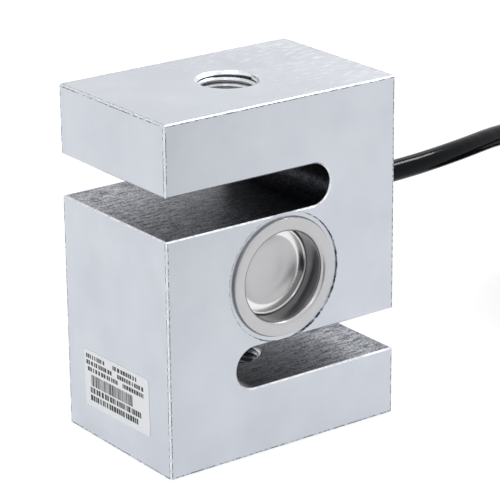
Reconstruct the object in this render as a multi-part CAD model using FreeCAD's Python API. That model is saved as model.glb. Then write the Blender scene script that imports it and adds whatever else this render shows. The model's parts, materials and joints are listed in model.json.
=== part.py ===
import FreeCAD, Part
import math
import os

from FreeCAD import Placement, Rotation, Vector

# S type load cell. Millimetres, +Z up, X along the front face, Y from the front face to the rear one.
# The origin is at the middle of the block's bottom face.

# --- S block -------------------------------------------------------------------------------------
BLOCK_WIDTH = 58.6
BLOCK_DEPTH = 38.1
BLOCK_HEIGHT = 76.2
ARM_HEIGHT = 15.2            # steel above the upper slot and below the lower one
SLOT_HEIGHT = 9.1
SLOT_LENGTH = 41.5           # from the open end to the round end
EDGE_BREAK = 0.3
THREAD_RADIUS = 6.35         # half-inch fine thread, drawn at its major radius
THREAD_CHAMFER = 0.7
THREAD_INNER_CHAMFER = 0.4   # where the thread runs out into the slot

# --- gauge pockets and sealing cups ----------------------------------------------------------------
POCKET_RADIUS = 11.5
SHEAR_WEB = 6.0              # steel left between the two pockets
WELD_RECESS_RADIUS = 13.95   # a little wider than the steel between the slots, so it breaks into both
WELD_RECESS_DEPTH = 0.35
CUP_FLANGE_RADIUS = 12.8
CUP_FLANGE_PROUD = 0.4       # of the block's face
CUP_SHEET = 0.8
CUP_SEAT_CLEARANCE = 0.05
CUP_WALL_RADIUS = 9.35       # inside of the drawn wall
CUP_LEDGE_DEPTH = 5.8
CUP_LEDGE_WIDTH = 1.6
CUP_FLOOR_STEP = 0.7
CUP_MOUTH_BEND = 1.0
CUP_LEDGE_BEND = 0.9
CUP_FLOOR_BEND = 0.6

# --- gauges and wiring in the pockets ----------------------------------------------------------------
GAUGE_WIDTH = 12.0
GAUGE_HEIGHT = 8.4
GAUGE_FILM = 0.12
GRID_FOIL = 0.06
GRID_STRANDS = 6
GRID_PITCH = 0.62
GRID_STRAND_WIDTH = 0.34
GRID_LENGTH = 4.2
GRID_OFFSET = 2.9            # from the gauge's middle to a grid's middle
GRID_ANGLE = 45.0
TAB_SIZE = 0.9
COAT_HEIGHT = 0.7
COAT_ROUND = 0.42
STRIP_WIDTH = 6.0
STRIP_HEIGHT = 3.2
STRIP_THICKNESS = 0.8
STRIP_BELOW_GAUGE = 1.0
PAD_SIZE = 0.7
PAD_THICKNESS = 0.1
PAD_COLUMNS = 4
PAD_PITCH = 1.3
PAD_ROW_OFFSET = 0.85
FINE_WIRE_RADIUS = 0.14
WIRE_BEND = 2.5              # cut across each bend of a thin wire, in its own radii
FINE_WIRE_RISE = 1.7
SUPPLY_WIRE_RISE = 2.5
CROSS_HOLE_RADIUS = 1.2
CROSS_HOLE_MARGIN = 0.35     # from the pocket's wall to the hole
BOARD_WIDTH = 6.8
BOARD_HEIGHT = 5.6
BOARD_THICKNESS = 0.8
BOARD_ABOVE_GAUGE = 0.8
BOARD_SHIFT = -1.05
RESISTOR_SIZE = Vector(0.8, 0.5, 1.6)
INNER_LEAD_RADIUS = 0.3
INNER_LEAD_PITCH = 0.8
INNER_LEAD_TURN = 4.4        # from the pocket's wall to where the leads turn towards the board
INNER_LEAD_RUN = 4.0         # along X, from that turn to where they lie over the board

# --- cable gland in the right end ----------------------------------------------------------------------
GLAND_ABOVE_MIDDLE = 9.0     # the cable's axis above the block's middle
GLAND_THREAD_RADIUS = 4.0
GLAND_SHANK = 8.0
GLAND_HEX_ACROSS_FLATS = 11.0
GLAND_HEX_THICKNESS = 3.0
GLAND_STUB = 3.2
GROMMET_RADIUS = 3.2
GROMMET_LENGTH = 2.8
NUT_ACROSS_FLATS = 10.4
NUT_FRONT_WALL = 1.4
NUT_CLEARANCE = 0.05
NUT_STAND_OFF = 0.1
CABLE_CLEARANCE = 0.1
PASSAGE_RADIUS = 3.7
PASSAGE_END = 0.0            # X at which the wire passage stops
CABLE_INSERT = 4.0           # jacket inside the block

# --- cable: 3 m of four-core screened cable ---------------------------------------------------------------
CABLE_RADIUS = 2.4
HANK_NEAR_FOLD = 115.6       # X of the axis of the fold beside the block
HANK_RUN = 72.0
HANK_FOLD_RADIUS = 14.4      # of the innermost strand
HANK_LANES = 2
HANK_TURNS = 5.5             # down in the outer lane, then as many up in the inner one
HANK_EDGE = 1.6
TIE_X = 128.0
TIE_WIDTH = 3.6
TIE_THICKNESS = 1.0
TIE_CORNER = 2.6
TIE_HEAD = Vector(5.6, 6.4, 4.2)
TIE_HEAD_CHAMFER = 0.5
TIE_TAIL = 11.0
TIE_TAIL_RISE = 1.5          # of the cut-off tail above the hank
SLEEVE_WALL = 0.3
SLEEVE_LENGTH = 8.8
SLEEVE_OVERHANG = 4.0        # past the end of the jacket
CORE_RADIUS = 0.55
CORE_SPREAD = 0.6            # of each core's axis from the cable's, both ways
TINNED_RADIUS = 0.3
TINNED_LENGTH = 5.0
DRAIN_RADIUS = 0.22
CORE_LANDING = 0.55          # share of a core's way out of the sleeve after which it lies on the floor

# The cable's free route from the gland to where it joins the hank, in the order it is laid.
GLAND_HEIGHT = BLOCK_HEIGHT / 2 + GLAND_ABOVE_MIDDLE
LEAD_ROUTE = [
    (BLOCK_WIDTH / 2 - CABLE_INSERT, 0.0, GLAND_HEIGHT),
    (45.2, 0.0, GLAND_HEIGHT),
    (65.5, 2.6, 47.2),
    (84.5, 8.6, 46.4),
    (103.5, 14.2, 43.0),
    (122.0, 17.4, 38.4),
    (139.5, 18.8, 33.0),
    (155.5, 18.4, 28.0),
    (165.5, 18.0, 26.6),
]
# The last stretch, from the top of the hank's inner lane down into the space between its runs.
TAIL_ROUTE = [
    (112.0, 14.6, 27.6),
    (120.0, 13.8, 26.2),
    (128.5, 11.0, 22.2),
    (137.0, 8.0, 16.2),
    (145.0, 5.9, 10.0),
    (153.5, 4.6, 5.0),
    (162.5, 3.9, 3.0),
    (171.5, 3.5, 2.8),
]
# Where each core's tinned end starts on the floor, and the core's corner of the sleeve (across, up).
CORES = {
    "red_core": ((189.0, -4.4), (1, -1)),
    "black_core": ((192.0, 0.2), (1, 1)),
    "green_core": ((192.0, 5.8), (-1, 1)),
    "white_core": ((188.5, 9.0), (-1, -1)),
}
DRAIN_END = (190.0, 2.7)

# --- label ---------------------------------------------------------------------------------------------
LABEL_LENGTH = 24.1
LABEL_HEIGHT = 12.6
LABEL_FILM = 0.1
LABEL_CORNER = 0.8
LABEL_MIDDLE = Vector(0, 0.35, 13.4)
LABEL_TILT = -1.3

# --- places that follow from the sizes above ---------------------------------------------------------------
RIGHT_END = BLOCK_WIDTH / 2
MIDDLE = Vector(0, 0, BLOCK_HEIGHT / 2)
FACE = BLOCK_DEPTH / 2
SIDES = {"front": -1, "rear": 1}
GAUGE_BOTTOM = MIDDLE.z - GAUGE_HEIGHT / 2
GAUGE_TOP = MIDDLE.z + GAUGE_HEIGHT / 2
STRIP_MIDDLE = GAUGE_BOTTOM - STRIP_BELOW_GAUGE - STRIP_HEIGHT / 2
BOARD_MIDDLE = GAUGE_TOP + BOARD_ABOVE_GAUGE + BOARD_HEIGHT / 2
CROSS_HOLE_DROP = POCKET_RADIUS - CROSS_HOLE_MARGIN - CROSS_HOLE_RADIUS
STRIP_PAD_TOP = STRIP_THICKNESS + PAD_THICKNESS
BOARD_PAD_TOP = BOARD_THICKNESS + PAD_THICKNESS
PAD_X = [(column - (PAD_COLUMNS - 1) / 2) * PAD_PITCH for column in range(PAD_COLUMNS)]
CABLE_DIAMETER = 2 * CABLE_RADIUS
HANK_INNER = HANK_FOLD_RADIUS - CABLE_RADIUS
HANK_OUTER = HANK_INNER + HANK_LANES * CABLE_DIAMETER
HANK_HEIGHT = (HANK_TURNS + 1) * CABLE_DIAMETER


def corner_arc(before, corner, after, radius):
    """Start, middle and end of the arc of that radius which rounds a corner."""
    back = (before - corner).normalize()
    onward = (after - corner).normalize()
    half = back.getAngle(onward) / 2
    bisector = (back + onward).normalize()
    centre = corner + bisector * (radius / math.sin(half))
    set_back = radius / math.tan(half)
    return corner + back * set_back, centre - bisector * radius, corner + onward * set_back


def path_edges(points, radii, closed):
    """Straight lines through the points, with an arc at each corner whose radius isn't zero."""
    count = len(points)
    arcs = []
    for i, (point, radius) in enumerate(zip(points, radii)):
        at_end = not closed and i in (0, count - 1)
        if radius == 0 or at_end:
            arcs.append((point, None, point))
        else:
            arcs.append(corner_arc(points[i - 1], point, points[(i + 1) % count], radius))
    edges = []
    for i, (start, middle, end) in enumerate(arcs):
        if middle is not None:
            edges.append(Part.Arc(start, middle, end).toShape())
        if closed or i < count - 1:
            edges.append(Part.LineSegment(end, arcs[(i + 1) % count][0]).toShape())
    return edges


def rounded_face(corners):
    """Face with the given (point, corner radius) outline."""
    points, radii = zip(*corners)
    return Part.Face(Part.Wire(path_edges(list(points), list(radii), closed=True)))


def tube(points, radius, bends):
    """Round bar along straight runs joined by tangent arcs."""
    path = Part.Wire(path_edges(points, bends, closed=False))
    start = Part.Circle(points[0], points[1] - points[0], radius).toShape()
    solid = path.makePipeShell([Part.Wire(start)], True, False)
    return solid, path.Length


def easy_bends(points):
    """The largest arc that leaves a tenth of each run straight."""
    bends = [0.0]
    for before, corner, after in zip(points, points[1:], points[2:]):
        turn = math.pi - (before - corner).getAngle(after - corner)
        shorter = min((before - corner).Length, (after - corner).Length)
        bends.append(0.45 * shorter / math.tan(turn / 2))
    return bends + [0.0]


def cord(name, route, radius):
    """Free cord along a route, with its bends and its volume printed."""
    points = [Vector(*point) for point in route]
    bends = easy_bends(points)
    solid, length = tube(points, radius, bends)
    section = math.pi * radius ** 2
    print(f"{name}: {length:.1f} mm, arc radii {[round(b, 1) for b in bends[1:-1]]} mm,"
          f" volume over section times length {solid.Volume / (section * length):.5f}")
    return solid


def fine_wire(points, radius):
    """Thin wire, drawn six-sided, with a straight cut across each corner."""
    path = [points[0]]
    for before, corner, after in zip(points, points[1:], points[2:]):
        path += [corner + (side - corner).normalize() * WIRE_BEND * radius for side in (before, after)]
    path.append(points[-1])
    onward = Rotation(Vector(0, 0, 1), points[1] - points[0])
    section = [points[0] + onward.multVec(Vector(radius, 0, 0)) for onward in
               (onward * Rotation(Vector(0, 0, 1), 60 * i) for i in range(7))]
    return Part.makePolygon(path).makePipeShell([Part.makePolygon(section)], True, False, 1)


def box_between(low, high):
    """Box from its lowest to its highest corner."""
    size = high - low
    return Part.makeBox(size.x, size.y, size.z, low)


def hexagon_bar(across_flats, length, start):
    """Hexagon bar along +X from start, two of its flats upright."""
    reach = across_flats / math.sqrt(3)
    corners = [Vector(0, reach * math.cos(math.radians(60 * i + 30)), reach * math.sin(math.radians(60 * i + 30)))
               for i in range(6)]
    bar = Part.Face(Part.makePolygon(corners + corners[:1])).extrude(Vector(length, 0, 0))
    bar.translate(start)
    return bar


# --- the block ----------------------------------------------------------------------------------------------
def half_outline():
    """Lower half of the S: up the right end, round the lower slot and back out to the right end."""
    slot_floor = ARM_HEIGHT
    slot_roof = ARM_HEIGHT + SLOT_HEIGHT
    slot_end = RIGHT_END - SLOT_LENGTH
    arc_start = slot_end + SLOT_HEIGHT / 2
    corners = [Vector(-RIGHT_END, 0, 0), Vector(RIGHT_END, 0, 0), Vector(RIGHT_END, 0, slot_floor),
               Vector(arc_start, 0, slot_floor)]
    edges = [Part.LineSegment(a, b).toShape() for a, b in zip(corners, corners[1:])]
    round_end = Vector(slot_end, 0, (slot_floor + slot_roof) / 2)
    back = Vector(arc_start, 0, slot_roof)
    edges.append(Part.Arc(corners[-1], round_end, back).toShape())
    mouth = Vector(RIGHT_END, 0, slot_roof)
    top = Vector(RIGHT_END, 0, BLOCK_HEIGHT)
    edges.append(Part.LineSegment(back, mouth).toShape())
    edges.append(Part.LineSegment(mouth, top).toShape())
    return edges


def s_bar():
    """The S outline as a bar of the block's depth, with its outer edges broken."""
    lower = half_outline()
    upper = [edge.rotated(MIDDLE, Vector(0, 1, 0), 180) for edge in lower]
    bar = Part.Face(Part.Wire(lower + upper)).extrude(Vector(0, BLOCK_DEPTH, 0))
    bar.translate(Vector(0, -FACE, 0))
    outer = [edge for edge in bar.Edges
             if abs(abs(edge.CenterOfMass.y) - FACE) < 1e-6 or abs(abs(edge.CenterOfMass.x) - RIGHT_END) < 1e-6]
    return bar.makeChamfer(EDGE_BREAK, outer)


def gauge_pocket(side):
    """What is bored out of one face: the weld recess, the cup's seat and the pocket."""
    inward = Vector(0, -side, 0)
    mouth = Vector(0, side * FACE, MIDDLE.z)
    seat_radius, seat_depth = CUP_FLANGE_RADIUS + CUP_SEAT_CLEARANCE, CUP_SHEET - CUP_FLANGE_PROUD
    bores = ((WELD_RECESS_RADIUS, WELD_RECESS_DEPTH), (seat_radius, seat_depth),
             (POCKET_RADIUS, FACE - SHEAR_WEB / 2))
    cutters = [Part.makeCylinder(radius, depth, mouth, inward) for radius, depth in bores]
    return cutters[0].fuse(cutters[1:])


def thread_bore():
    """The bottom thread's bore through its arm, chamfered at both mouths."""
    profile = [
        (Vector(0, 0, 0), 0), (Vector(THREAD_RADIUS + THREAD_CHAMFER, 0, 0), 0),
        (Vector(THREAD_RADIUS, 0, THREAD_CHAMFER), 0),
        (Vector(THREAD_RADIUS, 0, ARM_HEIGHT - THREAD_INNER_CHAMFER), 0),
        (Vector(THREAD_RADIUS + THREAD_INNER_CHAMFER, 0, ARM_HEIGHT), 0), (Vector(0, 0, ARM_HEIGHT), 0),
    ]
    return rounded_face(profile).revolve(Vector(), Vector(0, 0, 1), 360)


def wire_passage():
    """Gland hole in the right end and the narrower passage that opens into both pockets."""
    start = Vector(RIGHT_END, 0, GLAND_HEIGHT)
    inward = Vector(-1, 0, 0)
    gland_hole = Part.makeCylinder(GLAND_THREAD_RADIUS, max(GLAND_SHANK, CABLE_INSERT), start, inward)
    passage = Part.makeCylinder(PASSAGE_RADIUS, RIGHT_END - PASSAGE_END, start, inward)
    return gland_hole.fuse(passage)


def cross_hole():
    """Small hole through the shear web for the wires between the pockets."""
    start = Vector(0, -SHEAR_WEB / 2, MIDDLE.z - CROSS_HOLE_DROP)
    return Part.makeCylinder(CROSS_HOLE_RADIUS, SHEAR_WEB, start, Vector(0, 1, 0))


def s_block():
    lower_thread = thread_bore()
    upper_thread = lower_thread.rotated(MIDDLE, Vector(0, 1, 0), 180)
    cutters = [gauge_pocket(side) for side in SIDES.values()]
    cutters += [lower_thread, upper_thread, wire_passage(), cross_hole()]
    return s_bar().cut(cutters)


# --- sealing cups ----------------------------------------------------------------------------------------------
def sealing_cup(side):
    """Cup drawn from one sheet: flange, wall, ledge and a floor sunk a little below the ledge."""
    ledge_inner = CUP_WALL_RADIUS - CUP_LEDGE_WIDTH
    floor_depth = CUP_LEDGE_DEPTH + CUP_FLOOR_STEP
    sheet = CUP_SHEET
    # (radius, depth below the flange's face, corner radius): over the open face, back along the hidden one.
    outline = [
        (0, floor_depth, 0),
        (ledge_inner, floor_depth, CUP_FLOOR_BEND),
        (ledge_inner, CUP_LEDGE_DEPTH, CUP_FLOOR_BEND / 2),
        (CUP_WALL_RADIUS, CUP_LEDGE_DEPTH, CUP_LEDGE_BEND),
        (CUP_WALL_RADIUS, 0, CUP_MOUTH_BEND),
        (CUP_FLANGE_RADIUS, 0, 0),
        (CUP_FLANGE_RADIUS, sheet, 0),
        (CUP_WALL_RADIUS + sheet, sheet, 0),
        (CUP_WALL_RADIUS + sheet, CUP_LEDGE_DEPTH + sheet, CUP_LEDGE_BEND),
        (ledge_inner + sheet, CUP_LEDGE_DEPTH + sheet, 0),
        (ledge_inner + sheet, floor_depth + sheet, 0),
        (0, floor_depth + sheet, 0),
    ]
    face = rounded_face([(Vector(radius, depth, 0), bend) for radius, depth, bend in outline])
    cup = face.revolve(Vector(), Vector(0, 1, 0), 360)
    if side > 0:
        cup.rotate(Vector(), Vector(0, 0, 1), 180)
    cup.translate(Vector(0, side * (FACE + CUP_FLANGE_PROUD), MIDDLE.z))
    return cup


# --- gauges and wiring -------------------------------------------------------------------------------------------
def on_web(side, x, rise, z):
    """Point over the shear web, at a height above its front or rear face."""
    return Vector(x, side * (SHEAR_WEB / 2 + rise), z)


def plate_on_web(side, x, z, width, height, low, high):
    """Flat rectangular plate parallel to the web, between two heights above it."""
    a = on_web(side, x - width / 2, low, z - height / 2)
    b = on_web(side, x + width / 2, high, z + height / 2)
    return box_between(Vector(a.x, min(a.y, b.y), a.z), Vector(b.x, max(a.y, b.y), b.z))


def gauge_grid(side, x, angle):
    """One meander of foil strands, turned to the direction of the shear strain."""
    low, high = GAUGE_FILM, GAUGE_FILM + GRID_FOIL
    pieces = []
    for i in range(GRID_STRANDS):
        offset = (i - (GRID_STRANDS - 1) / 2) * GRID_PITCH
        pieces.append(plate_on_web(side, x + offset, MIDDLE.z, GRID_STRAND_WIDTH, GRID_LENGTH, low, high))
        if i < GRID_STRANDS - 1:
            end = GRID_LENGTH / 2 * (-1) ** i
            width = GRID_PITCH + GRID_STRAND_WIDTH
            pieces.append(plate_on_web(side, x + offset + GRID_PITCH / 2, MIDDLE.z + end, width,
                                       GRID_STRAND_WIDTH, low, high))
    grid = pieces[0].fuse(pieces[1:]).removeSplitter()
    grid.rotate(Vector(x, 0, MIDDLE.z), Vector(0, 1, 0), angle)
    return grid


def shear_gauge(side):
    """Film with two crossed grids and a row of solder tabs."""
    film = plate_on_web(side, 0, MIDDLE.z, GAUGE_WIDTH, GAUGE_HEIGHT, 0, GAUGE_FILM)
    grids = [gauge_grid(side, hand * GRID_OFFSET, hand * GRID_ANGLE) for hand in (-1, 1)]
    tabs = [plate_on_web(side, x, GAUGE_BOTTOM + TAB_SIZE, TAB_SIZE, TAB_SIZE, GAUGE_FILM, GAUGE_FILM + GRID_FOIL)
            for x in PAD_X]
    return film.fuse(grids + tabs)


def gauge_coat(side, gauge):
    """Silicone coat over the grids, above the tabs."""
    low_edge = GAUGE_BOTTOM + 1.5 * TAB_SIZE + FINE_WIRE_RADIUS
    coat = plate_on_web(side, 0, (low_edge + GAUGE_TOP) / 2, GAUGE_WIDTH - TAB_SIZE, GAUGE_TOP - low_edge,
                        GAUGE_FILM, GAUGE_FILM + COAT_HEIGHT)
    outer = [edge for edge in coat.Edges if abs(edge.CenterOfMass.y) > SHEAR_WEB / 2 + GAUGE_FILM + COAT_HEIGHT - 1e-6]
    return coat.makeFillet(COAT_ROUND, outer).cut(gauge)


def terminal_strip(side):
    """Small board with two rows of solder pads."""
    strip = plate_on_web(side, 0, STRIP_MIDDLE, STRIP_WIDTH, STRIP_HEIGHT, 0, STRIP_THICKNESS)
    pads = [pad_on(side, x, STRIP_THICKNESS, STRIP_MIDDLE + row * PAD_ROW_OFFSET) for x in PAD_X for row in (-1, 1)]
    return strip.fuse(pads)


def pad_on(side, x, rise, z):
    """Square solder pad on a board whose top is at that rise."""
    return plate_on_web(side, x, z, PAD_SIZE, PAD_SIZE, rise, rise + PAD_THICKNESS)


def hop(side, x, start, end, height):
    """Wire that rises from one (rise, z) to a height above the web and comes down on another."""
    points = [on_web(side, x, start[0], start[1]), on_web(side, x, height, start[1]),
              on_web(side, x, height, end[1]), on_web(side, x, end[0], end[1])]
    return fine_wire(points, FINE_WIRE_RADIUS)


def bridge_wires(side):
    """From each gauge tab to the strip's upper pads."""
    tab = (GAUGE_FILM + GRID_FOIL, GAUGE_BOTTOM + TAB_SIZE)
    pad = (STRIP_PAD_TOP, STRIP_MIDDLE + PAD_ROW_OFFSET)
    return Part.makeCompound([hop(side, x, tab, pad, FINE_WIRE_RISE) for x in PAD_X])


def cross_wires():
    """From the two middle lower pads of one strip, through the web, to those of the other."""
    hole_z = MIDDLE.z - CROSS_HOLE_DROP
    pad_z = STRIP_MIDDLE - PAD_ROW_OFFSET
    wires = []
    for x in PAD_X[1:-1]:
        places = [(-1, STRIP_PAD_TOP, pad_z), (-1, FINE_WIRE_RISE, pad_z), (-1, FINE_WIRE_RISE, hole_z),
                  (1, FINE_WIRE_RISE, hole_z), (1, FINE_WIRE_RISE, pad_z), (1, STRIP_PAD_TOP, pad_z)]
        points = [on_web(side, x, rise, z) for side, rise, z in places]
        wires.append(fine_wire(points, FINE_WIRE_RADIUS))
    return Part.makeCompound(wires)


def compensation_board():
    """Board over the rear gauge with pads for the leads and for the supply wires."""
    rear = SIDES["rear"]
    board = plate_on_web(rear, BOARD_SHIFT, BOARD_MIDDLE, BOARD_WIDTH, BOARD_HEIGHT, 0, BOARD_THICKNESS)
    pads = [pad_on(rear, lead_pad_x(), BOARD_THICKNESS, z) for z in lead_heights()]
    pads += [pad_on(rear, x, BOARD_THICKNESS, supply_pad_z()) for x in (PAD_X[0], PAD_X[-1])]
    return board.fuse(pads)


def lead_pad_x():
    """X of the column of pads that takes the cable's cores."""
    return BOARD_SHIFT + BOARD_WIDTH / 4


def lead_heights():
    """Z of the four cores where they run side by side."""
    return [GLAND_HEIGHT + (i - 1.5) * INNER_LEAD_PITCH for i in range(4)]


def supply_pad_z():
    """Z of the two pads at the board's lower edge."""
    return BOARD_MIDDLE - BOARD_HEIGHT / 2 + PAD_SIZE


def trim_resistors():
    """Two chip resistors that trim the bridge."""
    rear = SIDES["rear"]
    size = RESISTOR_SIZE
    chips = []
    for i in (-1, 1):
        x = BOARD_SHIFT - BOARD_WIDTH / 4 + i * size.x
        chips.append(plate_on_web(rear, x, BOARD_MIDDLE, size.x, size.z, BOARD_THICKNESS, BOARD_THICKNESS + size.y))
    return Part.makeCompound(chips)


def supply_wires():
    """From the board over the rear gauge to the outer lower pads of the rear strip."""
    board_pad = (BOARD_PAD_TOP, supply_pad_z())
    strip_pad = (STRIP_PAD_TOP, STRIP_MIDDLE - PAD_ROW_OFFSET)
    wires = [hop(SIDES["rear"], x, board_pad, strip_pad, SUPPLY_WIRE_RISE) for x in (PAD_X[0], PAD_X[-1])]
    return Part.makeCompound(wires)


def inner_leads():
    """The cable's four cores, through the passage and out into the rear pocket, onto the board's pads."""
    over_pads = SHEAR_WEB / 2 + BOARD_PAD_TOP + INNER_LEAD_RADIUS
    turn_start = POCKET_RADIUS - INNER_LEAD_TURN
    turn_end = turn_start - INNER_LEAD_RUN
    leads = []
    for z in lead_heights():
        points = [Vector(RIGHT_END - CABLE_INSERT, 0, z), Vector(turn_start, 0, z),
                  Vector(turn_end, over_pads, z), Vector(lead_pad_x() - PAD_SIZE / 2, over_pads, z)]
        leads.append(fine_wire(points, INNER_LEAD_RADIUS))
    return Part.makeCompound(leads)


# --- cable gland -------------------------------------------------------------------------------------------------
def along_gland(x):
    """Point on the gland's axis, at a distance out of the block's right end."""
    return Vector(RIGHT_END + x, 0, GLAND_HEIGHT)


def gland_bore(radius, start, length):
    """Round cutter or bar on the gland's axis."""
    return Part.makeCylinder(radius, length, along_gland(start), Vector(1, 0, 0))


def gland_body():
    """Threaded shank, hexagon and the stub that the nut screws on."""
    shank = gland_bore(GLAND_THREAD_RADIUS, -GLAND_SHANK, GLAND_SHANK + GLAND_HEX_THICKNESS + GLAND_STUB)
    hexagon = hexagon_bar(GLAND_HEX_ACROSS_FLATS, GLAND_HEX_THICKNESS, along_gland(0))
    cable_hole = gland_bore(CABLE_RADIUS + CABLE_CLEARANCE, -GLAND_SHANK,
                            GLAND_SHANK + GLAND_HEX_THICKNESS + GLAND_STUB)
    socket = gland_bore(GROMMET_RADIUS, GLAND_HEX_THICKNESS + GLAND_STUB - GROMMET_LENGTH, GROMMET_LENGTH)
    return shank.fuse(hexagon).cut([cable_hole, socket])


def gland_grommet():
    """Rubber ring squeezed on the jacket."""
    start = GLAND_HEX_THICKNESS + GLAND_STUB - GROMMET_LENGTH
    return gland_bore(GROMMET_RADIUS, start, GROMMET_LENGTH).cut(gland_bore(CABLE_RADIUS, start, GROMMET_LENGTH))


def gland_nut():
    """Hexagon cap that presses the grommet, with a bevelled outer end."""
    start = GLAND_HEX_THICKNESS + NUT_STAND_OFF
    inside = GLAND_STUB - NUT_STAND_OFF
    length = inside + NUT_FRONT_WALL
    cap = hexagon_bar(NUT_ACROSS_FLATS, length, along_gland(start))
    corner = NUT_ACROSS_FLATS / math.sqrt(3)
    bevel = [
        (Vector(0, 0, 0), 0), (Vector(0, corner, 0), 0), (Vector(length - NUT_FRONT_WALL, corner, 0), 0),
        (Vector(length, NUT_ACROSS_FLATS / 2 - NUT_FRONT_WALL / 2, 0), 0), (Vector(length, 0, 0), 0),
    ]
    envelope = rounded_face(bevel).revolve(Vector(), Vector(1, 0, 0), 360)
    envelope.translate(along_gland(start))
    stub_hole = gland_bore(GLAND_THREAD_RADIUS + NUT_CLEARANCE, start, inside)
    cable_hole = gland_bore(CABLE_RADIUS + CABLE_CLEARANCE, start, length)
    return cap.common(envelope).cut([stub_hole, cable_hole])


# --- cable ----------------------------------------------------------------------------------------------------------
def stadium(radius):
    """Flat face round both folds of the hank."""
    near = Vector(HANK_NEAR_FOLD, 0, 0)
    far = near + Vector(HANK_RUN, 0, 0)
    up = Vector(0, radius, 0)
    edges = [
        Part.LineSegment(near + up, far + up), Part.Arc(far + up, far + Vector(radius, 0, 0), far - up),
        Part.LineSegment(far - up, near - up), Part.Arc(near - up, near - Vector(radius, 0, 0), near + up),
    ]
    return Part.Face(Part.Wire([edge.toShape() for edge in edges]))


def tie_band():
    """The tie's closed band round both runs of the hank."""
    low, high = TIE_THICKNESS, HANK_HEIGHT
    wide = HANK_OUTER
    outer = band_outline(wide + TIE_THICKNESS, low - TIE_THICKNESS, high + TIE_THICKNESS, TIE_CORNER + TIE_THICKNESS)
    inner = band_outline(wide, low, high, TIE_CORNER)
    return outer.cut(inner)


def band_outline(half_width, low, high, corner):
    """Solid rounded rectangle across the hank, as wide as the tie."""
    points = [(-half_width, low), (half_width, low), (half_width, high), (-half_width, high)]
    face = rounded_face([(Vector(TIE_X - TIE_WIDTH / 2, y, z), corner) for y, z in points])
    return face.extrude(Vector(TIE_WIDTH, 0, 0))


def hank_tie():
    """Band, head and the cut-off tail that comes out of the head."""
    head_low = Vector(TIE_X - TIE_HEAD.x / 2, -TIE_HEAD.y / 2, HANK_HEIGHT)
    head = box_between(head_low, head_low + TIE_HEAD)
    rim = [edge for edge in head.Edges if edge.BoundBox.ZMin > HANK_HEIGHT + TIE_THICKNESS]
    head = head.makeChamfer(TIE_HEAD_CHAMFER, rim)
    tail_low = Vector(TIE_X - TIE_WIDTH / 2, 0, HANK_HEIGHT + TIE_TAIL_RISE)
    tail = box_between(tail_low, tail_low + Vector(TIE_WIDTH, TIE_TAIL, TIE_THICKNESS))
    return tie_band().fuse([head, tail])


def cable_hank():
    """Outer shape of the folded cable, pressed in a little where the tie passes under it."""
    ring = stadium(HANK_OUTER).cut(stadium(HANK_INNER)).extrude(Vector(0, 0, HANK_HEIGHT))
    rims = [edge for edge in ring.Edges if edge.CenterOfMass.z < 1e-6 or edge.CenterOfMass.z > HANK_HEIGHT - 1e-6]
    return ring.makeChamfer(HANK_EDGE, rims).cut(tie_band())


def cable_end():
    """Where the jacket stops, and the direction in which it points there."""
    before, end = Vector(*TAIL_ROUTE[-2]), Vector(*TAIL_ROUTE[-1])
    return end, (end - before).normalize()


def end_sleeve():
    """Shrunk sleeve over the end of the jacket and the start of the cores."""
    end, onward = cable_end()
    start = end - onward * (SLEEVE_LENGTH - SLEEVE_OVERHANG)
    outer = Part.makeCylinder(CABLE_RADIUS + SLEEVE_WALL, SLEEVE_LENGTH, start, onward)
    return outer.cut(Part.makeCylinder(CABLE_RADIUS, SLEEVE_LENGTH, start, onward))


def bare_end_points(corner, floor_end, radius):
    """Route of one core or wire from the jacket's end down to the floor."""
    end, onward = cable_end()
    across = onward.cross(Vector(0, 0, 1)).normalize()
    start = end + (across * corner[0] + across.cross(onward) * corner[1]) * CORE_SPREAD
    mouth = start + onward * (SLEEVE_OVERHANG + CABLE_RADIUS / 2)
    finish = Vector(floor_end[0], floor_end[1], radius)
    landing = mouth + (finish - mouth) * CORE_LANDING
    return [start, mouth, Vector(landing.x, landing.y, radius), finish]


def core(corner, floor_end):
    """One insulated core."""
    points = bare_end_points(corner, floor_end, CORE_RADIUS)
    return tube(points, CORE_RADIUS, easy_bends(points))[0]


def tinned_ends():
    """The stripped ends of the four cores."""
    ends = []
    for floor_end, corner in CORES.values():
        points = bare_end_points(corner, floor_end, CORE_RADIUS)
        ends.append(Part.makeCylinder(TINNED_RADIUS, TINNED_LENGTH, points[-1], points[-1] - points[-2]))
    return Part.makeCompound(ends)


def shield_drain():
    """Bare wire of the cable's screen, between the cores."""
    points = bare_end_points((0, 0), DRAIN_END, DRAIN_RADIUS)
    return fine_wire(points, DRAIN_RADIUS)


# --- label -------------------------------------------------------------------------------------------------------------
def label_sticker():
    """Film label on the left end, put on by hand and so a little askew."""
    half_length, half_height = LABEL_LENGTH / 2, LABEL_HEIGHT / 2
    corners = [(-half_length, -half_height), (half_length, -half_height), (half_length, half_height),
               (-half_length, half_height)]
    film = rounded_face([(Vector(0, y, z), LABEL_CORNER) for y, z in corners]).extrude(Vector(-LABEL_FILM, 0, 0))
    film.Placement = Placement(Vector(-RIGHT_END, LABEL_MIDDLE.y, LABEL_MIDDLE.z),
                               Rotation(Vector(1, 0, 0), LABEL_TILT))
    return film


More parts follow.
